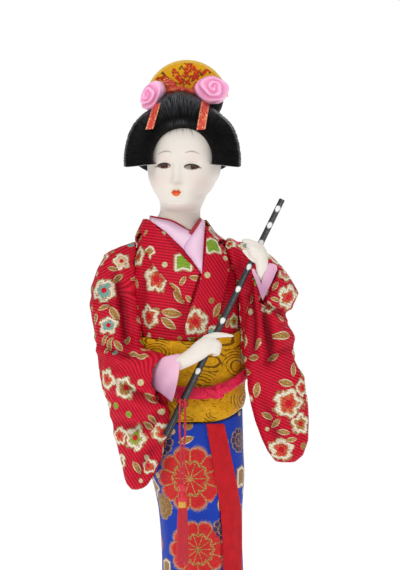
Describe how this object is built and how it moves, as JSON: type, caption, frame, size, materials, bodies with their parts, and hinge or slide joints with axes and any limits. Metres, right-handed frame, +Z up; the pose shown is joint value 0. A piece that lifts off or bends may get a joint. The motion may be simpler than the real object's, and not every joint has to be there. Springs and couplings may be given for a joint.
{
  "type": "geisha doll",
  "caption": "Souvenir doll of a geisha in brocade kimono, with dressed wig and round comb, holding a thin flute across the body, on a low black base.",
  "frame": {"origin": "centre of the base's outline, at its underside", "axes": "+Z up the figure, -Y the way the doll faces, +X to the viewer's right (the doll's left)"},
  "size_m": [0.108, 0.092, 0.3],
  "materials": {
    "base": "gloss black lacquer",
    "skirt": "blue brocade with gold and red flowers",
    "front_band": "plain red cloth",
    "obi": "mustard gold brocade with swirling lines",
    "obi_cord": "braided red cord",
    "obi_bow": "mustard gold brocade with swirling lines",
    "kimono_body": "red ribbed brocade with flowers",
    "kimono_collar": "red ribbed brocade with flowers",
    "inner_collar": "pink satin cloth",
    "sleeve_right": "red ribbed brocade with flowers",
    "sleeve_left": "red ribbed brocade with flowers",
    "cuff_right": "pink satin cloth",
    "cuff_left": "pink satin cloth",
    "hand_right": "cream white, satin",
    "hand_left": "cream white, satin",
    "flute": "black lacquer with white dots",
    "flute_tie": "red cord",
    "flute_cord_right": "red cord",
    "flute_cord_left": "red cord",
    "tassel": "red thread bound with gold",
    "head": "cream white, satin, with painted face",
    "hair": "glossy black strands",
    "comb": "gold, painted with red blossom",
    "hair_band": "glittering red and gold",
    "hair_ribbon_right": "red brocade with gold edges",
    "hair_ribbon_left": "red brocade with gold edges",
    "rose_right": "pink satin",
    "rose_left": "pink satin"
  },
  "bodies": {
    "root": {"base": "base", "skirt": "skirt", "front_band": "front_band", "obi": "obi", "obi_cord": "obi_cord", "obi_bow": "obi_bow", "kimono_body": "kimono_body", "kimono_collar": "kimono_collar", "inner_collar": "inner_collar", "sleeve_right": "sleeve_right", "sleeve_left": "sleeve_left", "cuff_right": "cuff_right", "cuff_left": "cuff_left", "hand_right": "hand_right", "hand_left": "hand_left", "flute": "flute", "flute_tie": "flute_tie", "flute_cord_right": "flute_cord_right", "flute_cord_left": "flute_cord_left", "tassel": "tassel", "head": "head", "hair": "hair", "comb": "comb", "hair_band": "hair_band", "hair_ribbon_right": "hair_ribbon_right", "hair_ribbon_left": "hair_ribbon_left", "rose_right": "rose_right", "rose_left": "rose_left"}
  },
  "joints": []
}
